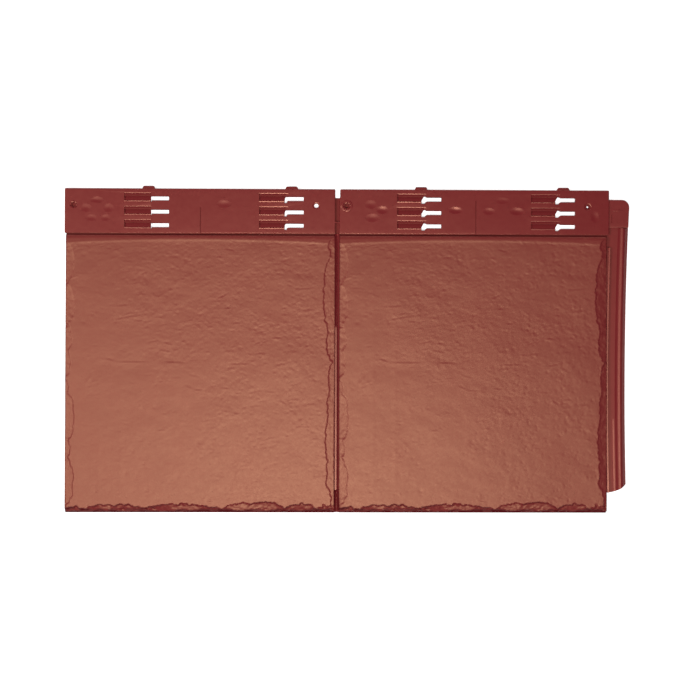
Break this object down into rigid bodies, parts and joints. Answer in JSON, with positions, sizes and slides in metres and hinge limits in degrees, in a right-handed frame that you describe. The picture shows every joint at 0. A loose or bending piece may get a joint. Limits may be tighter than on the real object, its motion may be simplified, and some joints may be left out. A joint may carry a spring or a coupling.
{
  "type": "roof tile",
  "caption": "Moulded plastic roof tile with two riven slates side by side under a nailing header, with locking slots, a keyway gap and an interlocking side gutter.",
  "frame": {"origin": "on the bed, under the middle of the tile's overall outline", "axes": "+X across the roof, towards the side gutter; +Y up the slope, towards the header; +Z out of the weather face"},
  "size_m": [0.633, 0.365, 0.0125],
  "materials": {
    "moulded_plastic": "brownish terracotta red moulded plastic with a satin sheen; riven slate relief on the two slates, smooth header"
  },
  "bodies": {
    "root": {"roof_tile": "moulded_plastic"}
  },
  "joints": []
}
